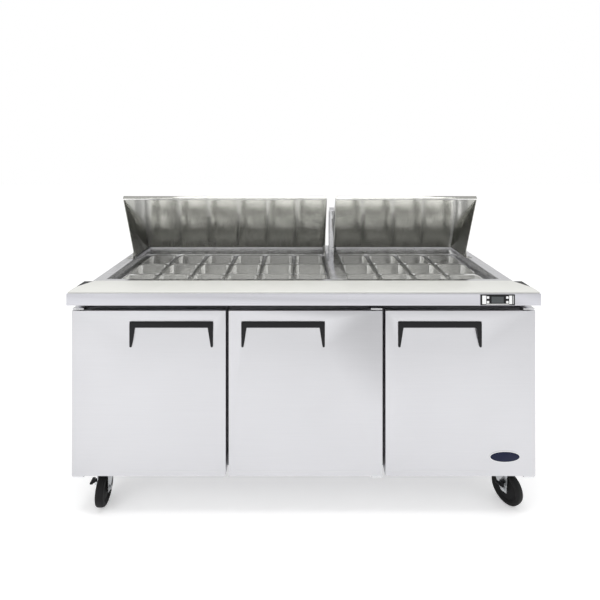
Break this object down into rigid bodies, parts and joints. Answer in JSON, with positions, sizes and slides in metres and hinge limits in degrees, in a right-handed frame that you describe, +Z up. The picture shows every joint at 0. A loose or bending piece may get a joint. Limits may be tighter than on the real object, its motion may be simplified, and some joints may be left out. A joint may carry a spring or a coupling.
{
  "type": "sandwich prep table",
  "caption": "Refrigerated sandwich prep table: doors, tilting hood lids over lift-out food pans, full-width cutting board, compressor at the rear and swivel casters.",
  "frame": {"origin": "centre of the bounding box at floor level", "axes": "+X to the user's right along the front, -Y towards the user, +Z up"},
  "size_m": [1.847, 0.8665, 1.21],
  "materials": {
    "stainless": "brushed",
    "liner_metal": "satin",
    "foam": "rigid foam",
    "white_board": "fine matt",
    "black_plastic": "satin",
    "white_plastic": "gloss",
    "rubber": "matt",
    "gasket": "matt",
    "badge": "gloss",
    "painted_black": "gloss",
    "zinc": "plated",
    "window": "gloss",
    "wire": "coated"
  },
  "bodies": {
    "cabinet": {"outer_casing": "stainless", "foam_insulation": "foam", "inner_liner": "liner_metal", "front_frame": "stainless", "worktop": "stainless", "front_apron": "stainless", "centre_bridge": "stainless", "pan_bars": "stainless", "air_duct": "stainless", "rear_hoods": "stainless", "hood_centre_post": "stainless", "lid_pivots": "stainless", "controller_body": "black_plastic", "controller_window": "window", "board_brackets": "black_plastic", "door_hinge_brackets": "stainless", "caster_plates": "painted_black", "compressor": "painted_black", "condenser_coil": "liner_metal", "fan_shroud": "zinc", "rear_grille": "stainless", "evaporator_coil": "liner_metal", "shelf_pilasters": "zinc", "wire_shelves": "wire", "cord_gland": "black_plastic", "screws": "zinc"},
    "door_left": {"door_skin_left": "stainless", "door_core_left": "white_plastic", "door_gasket_left": "gasket", "door_handle_left": "black_plastic"},
    "door_middle": {"door_skin_middle": "stainless", "door_core_middle": "white_plastic", "door_gasket_middle": "gasket", "door_handle_middle": "black_plastic"},
    "door_right": {"door_skin_right": "stainless", "door_core_right": "white_plastic", "door_gasket_right": "gasket", "door_handle_right": "black_plastic", "door_badge": "badge"},
    "board": {"cutting_board": "white_board"},
    "lid_left": {"lid_left": "stainless"},
    "lid_right": {"lid_right": "stainless"},
    "pans_left": {"food_pans_left": "stainless"},
    "pans_right": {"food_pans_right": "stainless"},
    "fork_front_left": {"caster_fork_front_left": "painted_black"},
    "wheel_front_left": {"caster_wheel_front_left": "rubber"},
    "fork_front_right": {"caster_fork_front_right": "painted_black"},
    "wheel_front_right": {"caster_wheel_front_right": "rubber"},
    "fork_rear_left": {"caster_fork_rear_left": "painted_black"},
    "wheel_rear_left": {"caster_wheel_rear_left": "rubber"},
    "fork_rear_right": {"caster_fork_rear_right": "painted_black"},
    "wheel_rear_right": {"caster_wheel_rear_right": "rubber"},
    "brake_front_left": {"brake_lever_front_left": "black_plastic"},
    "brake_front_right": {"brake_lever_front_right": "black_plastic"},
    "condenser_fan": {"condenser_fan": "black_plastic"},
    "evaporator_fan": {"evaporator_fan": "black_plastic"},
    "button_up": {"button_up": "white_plastic"},
    "button_down": {"button_down": "white_plastic"},
    "button_set": {"button_set": "white_plastic"},
    "button_light": {"button_light": "white_plastic"}
  },
  "joints": [
    {"name": "board_lift", "type": "slide", "parent": "cabinet", "child": "board", "axis": [0, 0, 1], "range_m": [0, 0.15]},
    {"name": "door_left_hinge", "type": "hinge", "parent": "cabinet", "child": "door_left", "pos_m": [-0.901, -0.389, 0.48], "axis": [0, 0, -1], "range_deg": [0, 90]},
    {"name": "door_middle_hinge", "type": "hinge", "parent": "cabinet", "child": "door_middle", "pos_m": [0.297, -0.389, 0.48], "axis": [0, 0, 1], "range_deg": [0, 90]},
    {"name": "door_right_hinge", "type": "hinge", "parent": "cabinet", "child": "door_right", "pos_m": [0.901, -0.389, 0.48], "axis": [0, 0, 1], "range_deg": [0, 90]},
    {"name": "lid_left_hinge", "type": "hinge", "parent": "cabinet", "child": "lid_left", "pos_m": [-0.378, 0.17, 0.884], "axis": [1, 0, 0], "range_deg": [0, 65.5]},
    {"name": "lid_right_hinge", "type": "hinge", "parent": "cabinet", "child": "lid_right", "pos_m": [0.5095, 0.17, 0.884], "axis": [1, 0, 0], "range_deg": [0, 65.5]},
    {"name": "pans_left_lift", "type": "slide", "parent": "cabinet", "child": "pans_left", "axis": [0, 0, -1], "range_m": [-0.05, 0]},
    {"name": "pans_right_lift", "type": "slide", "parent": "cabinet", "child": "pans_right", "axis": [0, 0, -1], "range_m": [-0.05, 0]},
    {"name": "press_down", "type": "slide", "parent": "cabinet", "child": "button_down", "axis": [0, 1, 0], "range_m": [0, 0.0008], "stiffness_N_per_m": 400},
    {"name": "press_light", "type": "slide", "parent": "cabinet", "child": "button_light", "axis": [0, 1, 0], "range_m": [0, 0.0008], "stiffness_N_per_m": 400},
    {"name": "press_set", "type": "slide", "parent": "cabinet", "child": "button_set", "axis": [0, 1, 0], "range_m": [0, 0.0008], "stiffness_N_per_m": 400},
    {"name": "press_up", "type": "slide", "parent": "cabinet", "child": "button_up", "axis": [0, 1, 0], "range_m": [0, 0.0008], "stiffness_N_per_m": 400},
    {"name": "spin_condenser_fan", "type": "hinge", "parent": "cabinet", "child": "condenser_fan", "pos_m": [0.25, 0.326, 0.33], "axis": [0, 1, 0], "continuous": true},
    {"name": "spin_evaporator_fan", "type": "hinge", "parent": "cabinet", "child": "evaporator_fan", "pos_m": [0, 0.14, 0.59], "axis": [0, 1, 0], "continuous": true},
    {"name": "swivel_front_left", "type": "hinge", "parent": "cabinet", "child": "fork_front_left", "pos_m": [-0.817, -0.304, 0.13], "axis": [0, 0, 1], "continuous": true},
    {"name": "wheel_front_left", "type": "hinge", "parent": "fork_front_left", "child": "wheel_front_left", "pos_m": [-0.81501, -0.34195, 0.0635], "axis": [0.9986, 0.0523, 0], "continuous": true},
    {"name": "turn_brake_front_left", "type": "hinge", "parent": "fork_front_left", "child": "brake_front_left", "pos_m": [-0.84297, -0.34341, 0.0905], "axis": [0.0523, -0.9986, 0], "range_deg": [0, 20]},
    {"name": "swivel_front_right", "type": "hinge", "parent": "cabinet", "child": "fork_front_right", "pos_m": [0.817, -0.304, 0.13], "axis": [0, 0, 1], "continuous": true},
    {"name": "wheel_front_right", "type": "hinge", "parent": "fork_front_right", "child": "wheel_front_right", "pos_m": [0.836, -0.33691, 0.0635], "axis": [0.866, 0.5, 0], "continuous": true},
    {"name": "turn_brake_front_right", "type": "hinge", "parent": "fork_front_right", "child": "brake_front_right", "pos_m": [0.81175, -0.35091, 0.0905], "axis": [0.5, -0.866, 0], "range_deg": [0, 20]},
    {"name": "swivel_rear_left", "type": "hinge", "parent": "cabinet", "child": "fork_rear_left", "pos_m": [-0.817, 0.35, 0.13], "axis": [0, 0, 1], "continuous": true},
    {"name": "wheel_rear_left", "type": "hinge", "parent": "fork_rear_left", "child": "wheel_rear_left", "pos_m": [-0.817, 0.312, 0.0635], "axis": [1, 0, 0], "continuous": true},
    {"name": "swivel_rear_right", "type": "hinge", "parent": "cabinet", "child": "fork_rear_right", "pos_m": [0.817, 0.35, 0.13], "axis": [0, 0, 1], "continuous": true},
    {"name": "wheel_rear_right", "type": "hinge", "parent": "fork_rear_right", "child": "wheel_rear_right", "pos_m": [0.817, 0.312, 0.0635], "axis": [1, 0, 0], "continuous": true}
  ]
}
